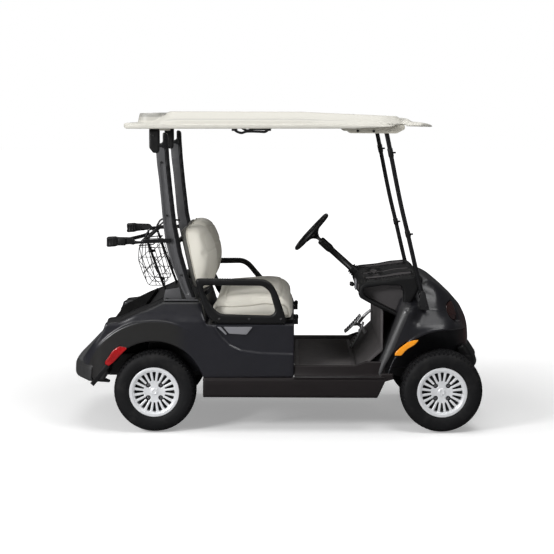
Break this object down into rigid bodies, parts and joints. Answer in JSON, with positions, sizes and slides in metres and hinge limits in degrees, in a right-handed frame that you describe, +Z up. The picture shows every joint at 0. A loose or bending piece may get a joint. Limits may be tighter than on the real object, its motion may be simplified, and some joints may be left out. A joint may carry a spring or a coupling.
{
  "type": "golf cart",
  "caption": "Open two-seat golf cart with a hard top on struts, a bench seat with moulded armrests, a rear bag rack with a wire basket and steered front wheels.",
  "frame": {"origin": "on the ground, below the middle of the whole cart", "axes": "+X forward, +Y to the left, +Z up"},
  "size_m": [2.4018, 1.2, 1.8278],
  "materials": {
    "black_steel": "satin",
    "dark_plastic": "matte",
    "mat_rubber": "matte",
    "sill_plastic": "satin",
    "body_paint": "satin metallic",
    "bumper_plastic": "matte",
    "red_lens": "gloss",
    "strut_paint": "satin",
    "ivory_plastic": "satin",
    "bracket_plastic": "satin",
    "black_plastic": "satin",
    "seat_vinyl": "satin",
    "dark_lens": "gloss",
    "amber_lens": "gloss",
    "pedal_metal": "brushed",
    "wire_steel": "satin",
    "engine_metal": "matte",
    "wheel_grip": "matte",
    "bright_steel": "brushed",
    "tyre": "matte",
    "rim_metal": "bright"
  },
  "bodies": {
    "chassis": {"frame_rails": "black_steel", "frame_crossmembers": "black_steel", "floor_pan": "dark_plastic", "floor_mat": "mat_rubber", "sills": "sill_plastic", "rear_body": "body_paint", "bag_well": "dark_plastic", "rear_bumper": "bumper_plastic", "tail_lights": "red_lens", "rear_struts": "strut_paint", "roof": "ivory_plastic", "roof_brackets": "bracket_plastic", "front_struts": "strut_paint", "roof_handles": "black_plastic", "seat_back_shells": "black_plastic", "seat_backs": "seat_vinyl", "seat_back_frame": "black_steel", "seat_hinges": "black_steel", "left_armrest": "black_plastic", "right_armrest": "black_plastic", "dashboard": "dark_plastic", "front_cowl": "body_paint", "front_bumper": "dark_plastic", "headlights": "dark_lens", "marker_lights": "amber_lens", "pedals": "pedal_metal", "steering_column": "black_steel", "bag_rack": "black_plastic", "basket_posts": "black_steel", "basket": "wire_steel", "front_axle_beam": "black_steel", "suspension": "black_steel", "steering_rack": "black_steel", "rear_axle": "black_steel", "engine": "engine_metal"},
    "seat": {"seat_cushion": "seat_vinyl", "seat_board": "black_plastic"},
    "steering_wheel": {"steering_wheel": "wheel_grip"},
    "tie_rod": {"tie_rod": "bright_steel"},
    "left_knuckle": {"left_knuckle": "black_steel"},
    "right_knuckle": {"right_knuckle": "black_steel"},
    "front_left_wheel": {"front_left_tyre": "tyre", "front_left_rim": "rim_metal"},
    "front_right_wheel": {"front_right_tyre": "tyre", "front_right_rim": "rim_metal"},
    "rear_left_wheel": {"rear_left_tyre": "tyre", "rear_left_rim": "rim_metal"},
    "rear_right_wheel": {"rear_right_tyre": "tyre", "rear_right_rim": "rim_metal"}
  },
  "joints": [
    {"name": "left_steer", "type": "hinge", "parent": "chassis", "child": "left_knuckle", "pos_m": [0.937, 0.379, 0.236], "axis": [0, 0, 1], "range_deg": [-28, 28]},
    {"name": "right_steer", "type": "hinge", "parent": "chassis", "child": "right_knuckle", "pos_m": [0.937, -0.379, 0.236], "axis": [0, 0, 1], "range_deg": [-28.5, 28.5]},
    {"name": "steering_wheel_turn", "type": "hinge", "parent": "chassis", "child": "steering_wheel", "pos_m": [0.202, 0.28, 1.082], "axis": [-0.7431, 0, 0.6691], "range_deg": [-200, 200]},
    {"name": "tie_rod_slide", "type": "slide", "parent": "chassis", "child": "tie_rod", "axis": [0, 1, 0], "range_m": [-0.056, 0.056]},
    {"name": "seat_tilt", "type": "hinge", "parent": "chassis", "child": "seat", "pos_m": [0.108, 0, 0.634], "axis": [0, 1, 0], "range_deg": [0, 55]},
    {"name": "front_left_wheel_roll", "type": "hinge", "parent": "left_knuckle", "child": "front_left_wheel", "pos_m": [0.937, 0.489, 0.236], "axis": [0, 1, 0], "continuous": true},
    {"name": "front_right_wheel_roll", "type": "hinge", "parent": "right_knuckle", "child": "front_right_wheel", "pos_m": [0.937, -0.489, 0.236], "axis": [0, 1, 0], "continuous": true},
    {"name": "rear_left_wheel_roll", "type": "hinge", "parent": "chassis", "child": "rear_left_wheel", "pos_m": [-0.703, 0.489, 0.236], "axis": [0, 1, 0], "continuous": true},
    {"name": "rear_right_wheel_roll", "type": "hinge", "parent": "chassis", "child": "rear_right_wheel", "pos_m": [-0.703, -0.489, 0.236], "axis": [0, 1, 0], "continuous": true}
  ],
  "couplings": [
    {"joint": "right_steer", "follows": "left_steer", "ratio": 1},
    {"joint": "steering_wheel_turn", "follows": "left_steer", "ratio": 7},
    {"joint": "tie_rod_slide", "follows": "left_steer", "m_per_rad": -0.11}
  ]
}
